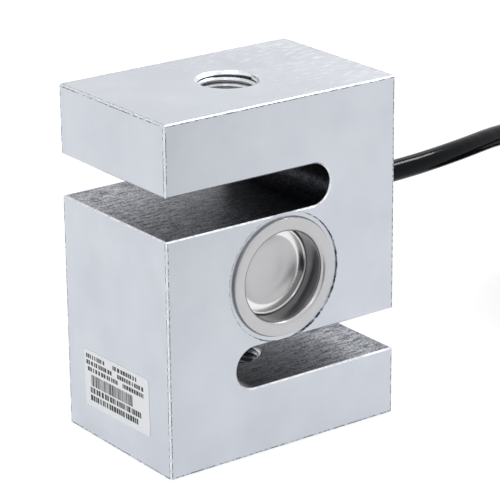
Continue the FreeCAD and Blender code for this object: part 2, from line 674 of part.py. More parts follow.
def build():
    """Every piece of the load cell, by name."""
    parts = {"s_block": s_block()}
    for name, side in SIDES.items():
        gauge = shear_gauge(side)
        parts[f"{name}_sealing_cup"] = sealing_cup(side)
        parts[f"{name}_shear_gauge"] = gauge
        parts[f"{name}_gauge_coat"] = gauge_coat(side, gauge)
        parts[f"{name}_terminal_strip"] = terminal_strip(side)
        parts[f"{name}_bridge_wires"] = bridge_wires(side)
    parts["cross_wires"] = cross_wires()
    parts["compensation_board"] = compensation_board()
    parts["trim_resistors"] = trim_resistors()
    parts["supply_wires"] = supply_wires()
    parts["inner_leads"] = inner_leads()
    parts["gland_body"] = gland_body()
    parts["gland_grommet"] = gland_grommet()
    parts["gland_nut"] = gland_nut()
    hank = cable_hank()
    parts["cable_hank"] = hank
    parts["cable_lead"] = cord("cable_lead", LEAD_ROUTE, CABLE_RADIUS).cut(hank)
    parts["cable_tail"] = cord("cable_tail", TAIL_ROUTE, CABLE_RADIUS).cut(hank)
    parts["hank_tie"] = hank_tie()
    parts["end_sleeve"] = end_sleeve()
    for name, (floor_end, corner) in CORES.items():
        parts[name] = core(corner, floor_end)
    parts["tinned_ends"] = tinned_ends()
    parts["shield_drain"] = shield_drain()
    parts["label_sticker"] = label_sticker()
    return parts


def main():
    os.makedirs("parts", exist_ok=True)
    for name, shape in build().items():
        shape.exportStep(f"parts/{name}.step")
        print(f"{name}: {len(shape.Solids)} solid(s), {shape.Volume:.2f} mm3, valid {shape.isValid()}")


main()
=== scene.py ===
import json
import logging
import math
import random
from dataclasses import dataclass
from enum import Enum

import bpy
from mathutils import Matrix, Vector


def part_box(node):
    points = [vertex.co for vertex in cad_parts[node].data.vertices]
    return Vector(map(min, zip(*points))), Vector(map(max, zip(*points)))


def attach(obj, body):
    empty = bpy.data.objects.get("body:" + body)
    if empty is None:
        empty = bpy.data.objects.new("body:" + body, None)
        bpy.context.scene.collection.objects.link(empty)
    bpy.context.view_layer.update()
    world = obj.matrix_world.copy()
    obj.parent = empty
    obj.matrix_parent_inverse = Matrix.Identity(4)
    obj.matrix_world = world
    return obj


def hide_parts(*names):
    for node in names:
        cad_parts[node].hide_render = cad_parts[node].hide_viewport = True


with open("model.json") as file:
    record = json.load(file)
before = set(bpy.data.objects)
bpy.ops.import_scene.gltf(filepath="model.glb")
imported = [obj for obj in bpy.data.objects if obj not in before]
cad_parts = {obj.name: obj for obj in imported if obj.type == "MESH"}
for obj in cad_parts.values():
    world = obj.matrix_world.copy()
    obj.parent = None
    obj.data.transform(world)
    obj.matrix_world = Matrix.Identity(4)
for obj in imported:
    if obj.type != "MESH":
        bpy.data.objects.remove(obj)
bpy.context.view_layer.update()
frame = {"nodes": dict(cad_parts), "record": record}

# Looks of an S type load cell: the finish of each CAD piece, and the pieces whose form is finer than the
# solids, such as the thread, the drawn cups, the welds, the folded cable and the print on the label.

MM = 0.001
BODY = "root"
LOG = logging.getLogger("load_cell")


# --- helpers ---------------------------------------------------------------------------------


def linear(code: str) -> tuple[float, float, float, float]:
    """Turns an sRGB hex code into a linear colour.

    Args:
        code: Colour such as "#C8CCD2".

    Returns:
        Red, green, blue and alpha, with alpha 1.
    """
    channels = [int(code[i:i + 2], 16) / 255 for i in (1, 3, 5)]
    red, green, blue = (c / 12.92 if c <= 0.04045 else ((c + 0.055) / 1.055) ** 2.4 for c in channels)
    return red, green, blue, 1.0


def add_node(tree: bpy.types.NodeTree, kind: str, settings: dict, links: dict,
             output: int | str = 0) -> bpy.types.NodeSocket:
    """Adds one shader node.

    Args:
        tree: Node tree that gets the node.
        kind: Blender's name of the node type, without "ShaderNode".
        settings: Values by the name of a property, or by the name or number of an input.
        links: Output sockets by the name or number of the input that each feeds.
        output: Name or number of the output that is wanted.

    Returns:
        That output's socket.
    """
    made = tree.nodes.new(f"ShaderNode{kind}")
    for name, value in settings.items():
        if isinstance(name, str) and hasattr(made, name):
            setattr(made, name, value)
        else:
            made.inputs[name].default_value = value
    for name, socket in links.items():
        tree.links.new(socket, made.inputs[name])
    return made.outputs[output]


def blank_material(name: str) -> tuple[bpy.types.Material, bpy.types.NodeTree, bpy.types.Node]:
    """Makes a material with a bare Principled shader.

    Args:
        name: Name of the material.

    Returns:
        The material, its node tree and its shader.
    """
    material = bpy.data.materials.new(name)
    material.use_nodes = True
    tree = material.node_tree
    return material, tree, tree.nodes["Principled BSDF"]


def mesh_piece(name: str, points: list[Vector], faces: list[tuple[int, ...]],
               sharp_deg: float = 35.0) -> bpy.types.Object:
    """Makes a mesh object that rides on the load cell's body.

    Args:
        name: Name of the piece.
        points: Corners, in metres.
        faces: Corner numbers of each face.
        sharp_deg: Faces that meet at more than this angle keep a hard edge between them.

    Returns:
        The new object.
    """
    mesh = bpy.data.meshes.new(name)
    mesh.from_pydata(points, [], faces)
    mesh.update()
    mesh.shade_smooth()
    mesh.set_sharp_from_angle(angle=math.radians(sharp_deg))
    piece = bpy.data.objects.new(name, mesh)
    bpy.context.scene.collection.objects.link(piece)
    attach(piece, BODY)
    return piece


def dress(piece: bpy.types.Object, material: bpy.types.Material) -> None:
    """Gives a piece one material all over.

    Args:
        piece: Object to dress.
        material: Its material.
    """
    piece.data.materials.clear()
    piece.data.materials.append(material)
    LOG.info("%s: %s", piece.name, material.name)


def grid_faces(rows: int, columns: int, closed_rows: bool,
               closed_columns: bool) -> list[tuple[int, ...]]:
    """Quads of a grid of points stored row by row.

    Args:
        rows: Number of rows.
        columns: Number of points in a row.
        closed_rows: Whether the last row joins the first one.
        closed_columns: Whether each row's last point joins its first one.

    Returns:
        Four corner numbers for each quad.
    """
    faces = []
    for i in range(rows if closed_rows else rows - 1):
        for j in range(columns if closed_columns else columns - 1):
            below, beside = (i + 1) % rows, (j + 1) % columns
            row, next_row = i * columns, below * columns
            faces.append((row + j, row + beside, next_row + beside, next_row + j))
    return faces


def rounded_line(corners: list[tuple[float, float, float]],
                 steps: int = 6) -> list[tuple[float, float]]:
    """Open line through corners, with an arc at each one that has a bend radius.

    Args:
        corners: (across, along, bend radius) of each corner, in order.
        steps: Straight pieces in each arc.

    Returns:
        Points of the line.
    """
    line = []
    for i, (across, along, radius) in enumerate(corners):
        corner = Vector((across, along))
        if radius == 0:
            line.append((across, along))
            continue
        back = (Vector(corners[i - 1][:2]) - corner).normalized()
        onward = (Vector(corners[i + 1][:2]) - corner).normalized()
        half = back.angle(onward) / 2
        centre = corner + (back + onward).normalized() * (radius / math.sin(half))
        first = corner + back * (radius / math.tan(half)) - centre
        last = corner + onward * (radius / math.tan(half)) - centre
        for k in range(steps + 1):
            arm = first.slerp(last, k / steps) * radius
            line.append(tuple(centre + arm))
    return line


# --- finishes --------------------------------------------------------------------------------


@dataclass(frozen=True)
class GroundNickel:
    """Ground alloy steel with bright nickel plating.

    A pale, slightly blue satin metal: faint clouds on the faces, short grinding streaks with painted
    white glints on their crests, strongest towards one rear corner of the top and bottom faces, a
    painted highlight on the broken edges with a thin painted shade line beside them and round the weld
    recesses, and darker milled slots with a grainy floor, painted darker still towards their closed ends
    as painted shade. Real grinding and milling marks are about a tenth of a millimetre wide, so these
    are drawn coarser to show.
    """

    face: tuple[str, str] = ("#BBC0C8", "#D3D7DE")
    milled: tuple[str, str] = ("#2B2D37", "#CDD0D8")
    # Painted shade colour towards the slots' closed ends.
    slot_shade: str = "#17181F"
    # Painted highlight on the broken edges; painted shade in the line beside them.
    edge: str = "#E6E8EB"
    line: str = "#4A4E55"
    roughness: float = 0.34
    milled_roughness: float = 0.35
    cloud_mm: float = 12.0
    streak_length_mm: float = 3.4
    streak_width_mm: float = 0.7
    grain_mm: float = 0.45
    dash_mm: float = 0.8
    edge_mm: float = 0.32
    thread_chamfer_mm: float = 0.75
    line_mm: float = 0.25
    recess_radius_mm: float = 13.95
    recess_depth_mm: float = 0.6
    # Painted highlight: white glints that grow towards one rear corner.
    glint: str = "#FFFFFF"
    glint_heading: tuple[float, float, float] = (0.94, 0.34, 0.0)
    glint_span_mm: tuple[float, float] = (-6.0, 24.0)
    glint_strength: tuple[float, float] = (0.06, 0.6)
    # Reach and strength of the painted shade along the slots.
    slot_shade_span_mm: tuple[float, float] = (-20.0, 12.0)
    slot_shade_strength: float = 0.9
    slot_depth_mm: float = 0.5
    soft_mm: float = 0.1
    flat_mm: float = 0.05
    chamfer_slope: tuple[float, float] = (0.7, 0.2)
    roughness_swing: float = 0.05
    streak_relief_mm: float = 0.03
    grain_relief_mm: float = 0.01

    def material(self, low: Vector, high: Vector) -> bpy.types.Material:
        """Makes the block's finish.

        Args:
            low: Lowest corner of the block.
            high: Highest corner of the block.

        Returns:
            The finish, placed by the block's own faces and edges.
        """
        made, tree, shader = blank_material("ground_nickel_plated_steel")
        place = add_node(tree, "TexCoord", {}, {}, "Object")
        middle, half = (low + high) / 2, (high - low) / 2
        shifted = add_node(tree, "VectorMath", {"operation": "SUBTRACT", 1: middle}, {0: place})
        spread = add_node(tree, "VectorMath", {"operation": "ABSOLUTE"}, {0: shifted})
        gap_vector = add_node(tree, "VectorMath", {"operation": "SUBTRACT", 0: half}, {1: spread})
        gaps = add_node(tree, "SeparateXYZ", {}, {0: gap_vector}).node.outputs

        stretch = [1 / (size * MM) for size in (self.streak_length_mm, self.streak_width_mm,
                                                self.streak_width_mm)]
        along = add_node(tree, "Mapping", {"Scale": stretch}, {"Vector": place})
        streaks = add_node(tree, "TexNoise", {"Scale": 1.0, "Detail": 3.0, "Roughness": 0.6},
                           {"Vector": along})
        clouds, grain, dash_noise = [
            add_node(tree, "TexNoise", {"Scale": 1 / (size * MM), "Detail": detail}, {"Vector": place})
            for size, detail in ((self.cloud_mm, 4.0), (self.grain_mm, 2.0), (self.dash_mm, 2.0))]

        pale = add_node(tree, "Mix",
                        {"data_type": "RGBA", 6: linear(self.face[0]), 7: linear(self.face[1])},
                        {0: clouds}, 2)
        # Painted shade: dark lines beside the outer edges and round the weld recesses, in dashes.
        broken = add_node(tree, "MapRange", {"From Min": 0.4, "From Max": 0.58}, {"Value": dash_noise})
        lines = self.shade_line_mask(tree, gaps, shifted)
        line = add_node(tree, "Math", {"operation": "MULTIPLY"}, {0: lines, 1: broken})
        lined = add_node(tree, "Mix", {"data_type": "RGBA", 7: linear(self.line)},
                         {0: line, 6: pale}, 2)
        # Painted highlight: pale broken edges, in dashes.
        highlight_dashes = add_node(tree, "MapRange", {"From Min": 0.36, "From Max": 0.56, "To Min": 0.15},
                        {"Value": dash_noise})
        edge = add_node(tree, "Math", {"operation": "MULTIPLY"},
                        {0: self.edge_highlight_mask(tree, gaps), 1: highlight_dashes})
        edged = add_node(tree, "Mix", {"data_type": "RGBA", 7: linear(self.edge)},
                         {0: edge, 6: lined}, 2)
        # Painted highlight: white glints on the streaks' crests of the top and bottom faces.
        painted_glint = self.painted_glint_mask(tree, gaps, shifted)
        crests = add_node(tree, "MapRange", {"From Min": 0.5, "From Max": 0.72}, {"Value": streaks})
        glints = add_node(tree, "Math", {"operation": "MULTIPLY"}, {0: painted_glint, 1: crests})
        shining = add_node(tree, "Mix", {"data_type": "RGBA", 7: linear(self.glint)},
                           {0: glints, 6: edged}, 2)
        speckle = add_node(tree, "Mix", {0: 0.5}, {2: grain, 3: streaks})
        contrast = add_node(tree, "MapRange", {"From Min": 0.38, "From Max": 0.66}, {"Value": speckle})
        dark = add_node(tree, "Mix",
                        {"data_type": "RGBA", 6: linear(self.milled[0]), 7: linear(self.milled[1])},
                        {0: contrast}, 2)
        milled = self.milled_mask(tree, gaps)
        # Painted shade: darker towards the slots' closed ends.
        inside = self.slot_shade_mask(tree, shifted)
        dimmed = add_node(tree, "Mix", {"data_type": "RGBA", 7: linear(self.slot_shade)},
                          {0: inside, 6: dark}, 2)
        colour = add_node(tree, "Mix", {"data_type": "RGBA"}, {0: milled, 6: shining, 7: dimmed}, 2)

        ground = add_node(tree, "MapRange",
                          {"To Min": self.roughness - self.roughness_swing,
                           "To Max": self.roughness + self.roughness_swing}, {"Value": clouds})
        rough = add_node(tree, "MapRange", {"To Max": self.milled_roughness},
                         {"Value": milled, "To Min": ground})
        coarse = add_node(tree, "Bump", {"Strength": 0.6, "Distance": self.streak_relief_mm * MM},
                          {"Height": streaks})
        fine = add_node(tree, "Bump", {"Strength": 0.4, "Distance": self.grain_relief_mm * MM},
                        {"Height": grain, "Normal": coarse})
        shader.inputs["Metallic"].default_value = 1.0
        tree.links.new(colour, shader.inputs["Base Color"])
        tree.links.new(rough, shader.inputs["Roughness"])
        tree.links.new(fine, shader.inputs["Normal"])
        return made

    def milled_mask(self, tree: bpy.types.NodeTree,
                    gaps: bpy.types.bpy_prop_collection) -> bpy.types.NodeSocket:
        """Mask of the slots and bores, which lie deeper than the outer faces.

        Args:
            tree: Node tree of the finish.
            gaps: Distances from the outer faces along X, Y and Z.

        Returns:
            Socket that is 1 there.
        """
        mask = None
        for axis, depth in (("X", self.slot_depth_mm), ("Y", self.slot_depth_mm),
                            ("Z", self.thread_chamfer_mm + self.soft_mm)):
            deep = add_node(tree, "Math", {"operation": "GREATER_THAN", 1: depth * MM}, {0: gaps[axis]})
            mask = deep if mask is None else add_node(tree, "Math", {"operation": "MULTIPLY"},
                                                      {0: mask, 1: deep})
        return mask

    def slot_shade_mask(self, tree: bpy.types.NodeTree,
                  shifted: bpy.types.NodeSocket) -> bpy.types.NodeSocket:
        """Mask of the painted shade, which grows along each slot from its open end to its closed one.

        Args:
            tree: Node tree of the finish.
            shifted: Position from the block's middle.

        Returns:
            Socket with the strength of the painted shade.
        """
        parts = add_node(tree, "SeparateXYZ", {}, {0: shifted}).node.outputs
        arm = add_node(tree, "Math", {"operation": "SIGN"}, {0: parts["Z"]})
        deeper = add_node(tree, "Math", {"operation": "MULTIPLY"}, {0: parts["X"], 1: arm})
        start, end = (reach * MM for reach in self.slot_shade_span_mm)
        return add_node(tree, "MapRange",
                        {"From Min": start, "From Max": end, "To Max": self.slot_shade_strength},
                        {"Value": deeper})

    def edge_highlight_mask(self, tree: bpy.types.NodeTree,
                  gaps: bpy.types.bpy_prop_collection) -> bpy.types.NodeSocket:
        """Mask of the painted highlight on broken edges: sloping, within a chamfer's depth of an outer
        face.

        Args:
            tree: Node tree of the finish.
            gaps: Distances from the outer faces along X, Y and Z.

        Returns:
            Socket that is 1 there.
        """
        normal = add_node(tree, "NewGeometry", {}, {}, "True Normal")
        upright = add_node(tree, "VectorMath", {"operation": "ABSOLUTE"}, {0: normal})
        slopes = add_node(tree, "SeparateXYZ", {}, {0: upright}).node.outputs
        slope, spread = self.chamfer_slope
        mask = None
        for axis, depth in (("X", self.edge_mm), ("Y", self.edge_mm), ("Z", self.thread_chamfer_mm)):
            near = add_node(tree, "Math", {"operation": "LESS_THAN", 1: depth * MM}, {0: gaps[axis]})
            sloping = add_node(tree, "Math", {"operation": "COMPARE", 1: slope, 2: spread},
                               {0: slopes[axis]})
            found = add_node(tree, "Math", {"operation": "MULTIPLY"}, {0: near, 1: sloping})
            mask = found if mask is None else add_node(tree, "Math", {"operation": "MAXIMUM"},
                                                       {0: mask, 1: found})
        return mask

    def painted_glint_mask(self, tree: bpy.types.NodeTree, gaps: bpy.types.bpy_prop_collection,
                   shifted: bpy.types.NodeSocket) -> bpy.types.NodeSocket:
        """Mask of the painted glints on the ends' faces, which grow towards one rear corner.

        Args:
            tree: Node tree of the finish.
            gaps: Distances from the outer faces along X, Y and Z.
            shifted: Position from the block's middle.

        Returns:
            Socket with the strength of the painted glints.
        """
        flat = add_node(tree, "Math", {"operation": "LESS_THAN", 1: self.flat_mm * MM},
                        {0: gaps["Z"]})
        towards = add_node(tree, "VectorMath", {"operation": "DOT_PRODUCT", 1: self.glint_heading},
                           {0: shifted}, "Value")
        start, end = (reach * MM for reach in self.glint_span_mm)
        weak, strong = self.glint_strength
        grown = add_node(tree, "MapRange",
                         {"From Min": start, "From Max": end, "To Min": weak, "To Max": strong},
                         {"Value": towards})
        return add_node(tree, "Math", {"operation": "MULTIPLY"}, {0: flat, 1: grown})

    def shade_line_mask(self, tree: bpy.types.NodeTree, gaps: bpy.types.bpy_prop_collection,
                  shifted: bpy.types.NodeSocket) -> bpy.types.NodeSocket:
        """Mask of the painted shade lines beside the outer edges and round the two weld recesses.

        Args:
            tree: Node tree of the finish.
            gaps: Distances from the outer faces along X, Y and Z.
            shifted: Position from the block's middle.

        Returns:
            Socket that is 1 on the lines.
        """
        lower = add_node(tree, "Math", {"operation": "MINIMUM"}, {0: gaps["X"], 1: gaps["Y"]})
        upper = add_node(tree, "Math", {"operation": "MAXIMUM"}, {0: gaps["X"], 1: gaps["Y"]})
        rest = add_node(tree, "Math", {"operation": "MAXIMUM"}, {0: lower, 1: gaps["Z"]})
        second = add_node(tree, "Math", {"operation": "MINIMUM"}, {0: upper, 1: rest})
        reach = (self.edge_mm + self.line_mm) * MM
        soft = self.soft_mm * MM
        beside = add_node(tree, "MapRange", {"From Min": reach, "From Max": reach - soft},
                          {"Value": second})
        flat = add_node(tree, "VectorMath", {"operation": "MULTIPLY", 1: (1.0, 0.0, 1.0)}, {0: shifted})
        radius = add_node(tree, "VectorMath", {"operation": "LENGTH"}, {0: flat}, "Value")
        ring = add_node(tree, "Math",
                        {"operation": "COMPARE", 1: self.recess_radius_mm * MM, 2: soft}, {0: radius})
        shallow = add_node(tree, "Math", {"operation": "LESS_THAN", 1: self.recess_depth_mm * MM},
                           {0: gaps["Y"]})
        groove = add_node(tree, "Math", {"operation": "MULTIPLY"}, {0: ring, 1: shallow})
        return add_node(tree, "Math", {"operation": "MAXIMUM"}, {0: beside, 1: groove})


@dataclass(frozen=True)
class DrawnStainless:
    """Thin stainless sheet, deep drawn.

    The flange and the floor keep the sheet's satin skin, with faint stains. The wall and the ledge were
    burnished by the tool, so they are glossier, with crisp highlights. The ledge's paler colour is a
    painted highlight and the wall's darker colour a painted dark reflection.
    """

    sheet: tuple[str, str] = ("#B8B8BB", "#C3C3C4")
    # Painted dark reflection on the wall, and painted highlight on the ledge.
    wall: str = "#6C6C6E"
    ledge: str = "#E6E6E5"
    satin: float = 0.3
    burnished: float = 0.19
    stain_mm: float = 5.0
    grain_mm: float = 0.4
    wall_radius_mm: float = 9.75
    ledge_width_mm: float = 2.2
    sunk_mm: tuple[float, float] = (0.5, 1.3)
    wall_band_mm: tuple[float, float] = (0.45, 0.1)
    ledge_soft_mm: float = 0.1
    relief_mm: float = 0.003

    def material(self, low: Vector, high: Vector) -> bpy.types.Material:
        """Makes the finish of the sealing cups.

        Args:
            low: Lowest corner of both cups together.
            high: Highest corner of both cups together.

        Returns:
            The finish, placed by the radius and the depth below a cup's flange.
        """
        made, tree, shader = blank_material("deep_drawn_stainless")
        place = add_node(tree, "TexCoord", {}, {}, "Object")
        shifted = add_node(tree, "VectorMath", {"operation": "SUBTRACT", 1: (low + high) / 2},
                           {0: place})
        flat = add_node(tree, "VectorMath", {"operation": "MULTIPLY", 1: (1.0, 0.0, 1.0)}, {0: shifted})
        radius = add_node(tree, "VectorMath", {"operation": "LENGTH"}, {0: flat}, "Value")
        across = add_node(tree, "SeparateXYZ", {}, {0: shifted}, "Y")
        away = add_node(tree, "Math", {"operation": "ABSOLUTE"}, {0: across})
        depth = add_node(tree, "Math", {"operation": "SUBTRACT", 0: (high.y - low.y) / 2}, {1: away})
        stains = add_node(tree, "TexNoise", {"Scale": 1 / (self.stain_mm * MM), "Detail": 3.0},
                          {"Vector": place})
        grain = add_node(tree, "TexNoise", {"Scale": 1 / (self.grain_mm * MM), "Detail": 2.0},
                         {"Vector": place})

        wall_edge = self.wall_radius_mm * MM
        ledge_edge = wall_edge - self.ledge_width_mm * MM
        mouth, below = (limit * MM for limit in self.sunk_mm)
        sunk = add_node(tree, "MapRange", {"From Min": mouth, "From Max": below}, {"Value": depth})
        start, full = (wall_edge - band * MM for band in self.wall_band_mm)
        outer = add_node(tree, "MapRange", {"From Min": start, "From Max": full}, {"Value": radius})
        wall = add_node(tree, "Math", {"operation": "MULTIPLY"}, {0: sunk, 1: outer})
        soft = self.ledge_soft_mm * MM
        beyond = add_node(tree, "MapRange",
                          {"From Min": ledge_edge - soft, "From Max": ledge_edge + soft},
                          {"Value": radius})
        ledge = add_node(tree, "Math", {"operation": "MULTIPLY"}, {0: sunk, 1: beyond})

        skin = add_node(tree, "Mix",
                        {"data_type": "RGBA", 6: linear(self.sheet[0]), 7: linear(self.sheet[1])},
                        {0: stains}, 2)
        # Painted highlight: the ledge is paler; painted dark reflection: the wall is darker.
        ledge_highlighted = add_node(tree, "Mix", {"data_type": "RGBA", 7: linear(self.ledge)},
                          {0: ledge, 6: skin}, 2)
        colour = add_node(tree, "Mix", {"data_type": "RGBA", 7: linear(self.wall)},
                          {0: wall, 6: ledge_highlighted}, 2)
        rough = add_node(tree, "MapRange", {"To Min": self.satin, "To Max": self.burnished},
                         {"Value": ledge})
        bump = add_node(tree, "Bump", {"Strength": 0.25, "Distance": self.relief_mm * MM},
                        {"Height": grain})
        shader.inputs["Metallic"].default_value = 1.0
        tree.links.new(colour, shader.inputs["Base Color"])
        tree.links.new(rough, shader.inputs["Roughness"])
        tree.links.new(bump, shader.inputs["Normal"])
        return made


@dataclass(frozen=True)
class Mottled:
    """Finish of a small piece, whose colour, gloss and surface vary a little together.

    Its marks are drawn coarser than real ones, so that they show.
    """

    name: str
    colour: str
    second_colour: str
    roughness: float
    mark_mm: float
    relief_mm: float = 0.01

    def mottle(self, smoother: float, rougher: float,
               strength: float) -> tuple[bpy.types.Material, bpy.types.Node]:
        """Makes the material with its marks.

        Args:
            smoother: How far the roughness falls in the marks' hollows.
            rougher: How far it rises on their crests.
            strength: Strength of their relief.

        Returns:
            The material and its shader.
        """
        made, tree, shader = blank_material(self.name)
        place = add_node(tree, "TexCoord", {}, {}, "Object")
        marks = add_node(tree, "TexNoise", {"Scale": 1 / (self.mark_mm * MM), "Detail": 3.0},
                         {"Vector": place})
        colour = add_node(tree, "Mix",
                          {"data_type": "RGBA", 6: linear(self.colour), 7: linear(self.second_colour)},
                          {0: marks}, 2)
        rough = add_node(tree, "MapRange",
                         {"To Min": self.roughness - smoother, "To Max": self.roughness + rougher},
                         {"Value": marks})
        bump = add_node(tree, "Bump", {"Strength": strength, "Distance": self.relief_mm * MM},
                        {"Height": marks})
        tree.links.new(colour, shader.inputs["Base Color"])
        tree.links.new(rough, shader.inputs["Roughness"])
        tree.links.new(bump, shader.inputs["Normal"])
        return made, shader


@dataclass(frozen=True)
class Metal(Mottled):
    """Small metal piece, whose fine marks break its reflections a little."""

    def material(self) -> bpy.types.Material:
        """Makes the metal.

        Returns:
            The finish.
        """
        made, shader = self.mottle(0.06, 0.08, 0.3)
        shader.inputs["Metallic"].default_value = 1.0
        return made


@dataclass(frozen=True)
class Polymer(Mottled):
    """Plastic, rubber or film."""

    ior: float = 1.5
    specular: float = 0.5
    opacity: float = 1.0

    def material(self) -> bpy.types.Material:
        """Makes the plastic.

        Returns:
            The finish.
        """
        made, shader = self.mottle(0.04, 0.06, 0.4)
        shader.inputs["IOR"].default_value = self.ior
        shader.inputs["Specular IOR Level"].default_value = self.specular
        shader.inputs["Alpha"].default_value = self.opacity
        return made


# --- sub-assemblies --------------------------------------------------------------------------


class Side(Enum):
    """The two faces that carry a sealing cup."""

    FRONT = -1
    REAR = 1


@dataclass
class SensorBlock:
    """The S block and the ridges of its two threads. Sizes are in millimetres."""

    thread_major_radius: float = 6.35
    thread_minor_radius: float = 5.72
    thread_pitch: float = 1.27
    mouth_radius: float = 7.05
    root_sink: float = 0.05
    first_turn_gap: float = 0.2
    end_gap: float = 0.1
    arm_gap: float = 0.3
    steps_per_turn: int = 96

    def build(self) -> None:
        """Dresses the block and cuts its threads."""
        low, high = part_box("s_block")
        dress(frame["nodes"]["s_block"], GroundNickel().material(low, high))
        # Plated in the thread's hollows too; the pale colour is a painted highlight on the ridges.
        # Smooth shading gives bright crests and softer flanks.
        cut = Metal("cut_nickel_plated_thread", "#F4F5F7", "#B9BCC2", 0.34, 0.7, 0.03).material()
        ridges = {"top_thread_ridges": (high.z, -1.0), "bottom_thread_ridges": (low.z, 1.0)}
        for name, (mouth, inward) in ridges.items():
            dress(self.thread(name, mouth, inward), cut)

    def thread(self, name: str, mouth: float, inward: float) -> bpy.types.Object:
        """Builds one helical ridge, trimmed by the chamfer at the mouth.

        Args:
            name: Name of the piece.
            mouth: Height of the face that the thread opens in, in metres.
            inward: Direction from the mouth into the block, -1 or 1.

        Returns:
            The ridge.
        """
        depth = self.thread_length()
        root = self.thread_major_radius + self.root_sink
        crest_half, base_half = self.thread_pitch / 8, self.thread_pitch * 0.44
        profile = ((root, -base_half), (self.thread_minor_radius, -crest_half),
                   (self.thread_minor_radius, crest_half), (root, base_half))
        turns = int(depth / self.thread_pitch)
        points = []
        count = turns * self.steps_per_turn
        for i in range(count + 1):
            angle = 2 * math.pi * i / self.steps_per_turn
            middle = base_half + self.first_turn_gap + self.thread_pitch * angle / (2 * math.pi)
            for radius, offset in profile:
                sunk = min(middle + offset, depth - self.end_gap)
                reach = min(root, max(radius, self.mouth_radius - sunk))
                points.append(Vector((reach * math.cos(angle), inward * reach * math.sin(angle),
                                      mouth / MM + inward * sunk)) * MM)
        faces = grid_faces(count + 1, len(profile), False, True)
        faces += [(3, 2, 1, 0), tuple(len(points) - 4 + j for j in range(4))]
        return mesh_piece(name, points, faces, 75.0)

    def thread_length(self) -> float:
        """Depth of a thread, which is that of the arm it runs through, in millimetres."""
        openings = frame["record"]["physics"]["openings"]
        slot = next(opening for opening in openings if opening["name"] == "lower_slot")
        return slot["box_m"][0][2] / MM - self.arm_gap


@dataclass
class SealingCup:
    """Drawn cup that closes a gauge pocket, and the weld round its flange. Sizes are in millimetres."""

    side: Side
    sheet: float = 0.8
    wall_radius: float = 9.75
    ledge_depth: float = 5.8
    ledge_width: float = 2.2
    mouth_bend: float = 1.0
    ledge_bend: float = 0.6
    dish: float = 0.8
    dish_steps: int = 14
    flat_share: float = 0.5
    flange_edge: float = 0.18
    weld_radius: float = 0.16
    weld_depth: float = 0.7
    weld_ripple: float = 0.04
    ripple_mm: float = 0.8
    steps: int = 240

    @property
    def node(self) -> str:
        """Name of the CAD piece that the cup stands for."""
        return f"{self.side.name.lower()}_sealing_cup"

    def build(self, cup_finish: bpy.types.Material, weld_finish: bpy.types.Material) -> None:
        """Builds the cup and its weld.

        Args:
            cup_finish: Material of the cup.
            weld_finish: Material of the weld bead.
        """
        cup = self.revolved(f"{self.side.name.lower()}_drawn_cup", self.profile(), True)
        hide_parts(self.node)
        dress(cup, cup_finish)
        weld = self.revolved(f"{self.side.name.lower()}_cup_weld", self.weld_profile(), False)
        dress(weld, weld_finish)

    def flange_radius(self) -> float:
        """Outer radius of the flange, in millimetres."""
        low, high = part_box(self.node)
        return (high.x - low.x) / 2 / MM

    def profile(self) -> list[tuple[float, float]]:
        """Section of the cup, over the open face and back along the other.

        Returns:
            (radius, depth below the flange's face) points.
        """
        flange = self.flange_radius()
        inner = self.wall_radius - self.ledge_width
        floor = self.ledge_depth + self.dish
        sheet = self.sheet
        shares = [k / self.dish_steps for k in range(self.dish_steps + 1)]
        bowl = [max(0.0, share - self.flat_share) / (1 - self.flat_share) for share in shares]
        dish = [(inner * share, floor - self.dish * rise ** 2, 0) for share, rise in zip(shares, bowl)]
        return rounded_line(dish + [
            (self.wall_radius, self.ledge_depth, self.ledge_bend),
            (self.wall_radius, 0.0, self.mouth_bend),
            (flange, 0.0, self.flange_edge), (flange, sheet, 0), (self.wall_radius + sheet, sheet, 0),
            (self.wall_radius + sheet, self.ledge_depth + sheet, self.ledge_bend),
            (inner + sheet, self.ledge_depth + sheet, 0),
            (inner + sheet, floor + sheet, 0), (0.0, floor + sheet, 0),
        ])

    def weld_profile(self) -> list[tuple[float, float]]:
        """Section of the weld bead, as (radius, depth) points at the foot of the flange's rim."""
        middle = self.flange_radius() + self.weld_radius / 2
        return [(middle + self.weld_radius * math.cos(a),
                 self.weld_depth + self.weld_radius * math.sin(a))
                for a in (2 * math.pi * k / 10 for k in range(10))]

    def revolved(self, name: str, section: list[tuple[float, float]],
                 open_section: bool) -> bpy.types.Object:
        """Turns a section about the cup's axis.

        Args:
            name: Name of the piece.
            section: (radius, depth below the face) points.
            open_section: Whether the section starts and ends on the axis.

        Returns:
            The piece, in its place.
        """
        low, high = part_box(self.node)
        middle = (low + high) / 2
        face = low.y if self.side is Side.FRONT else high.y
        inward = -self.side.value
        ripples = round(2 * math.pi * self.flange_radius() / self.ripple_mm)
        points = []
        for i in range(self.steps):
            angle = 2 * math.pi * i / self.steps
            wave = 0.0 if open_section else self.weld_ripple * math.sin(ripples * angle)
            for radius, depth in section:
                points.append(Vector((middle.x + (radius + wave) * MM * math.cos(angle),
                                      face + inward * (depth - wave) * MM,
                                      middle.z + inward * (radius + wave) * MM * math.sin(angle))))
        faces = grid_faces(self.steps, len(section), True, not open_section)
        return mesh_piece(name, points, faces)


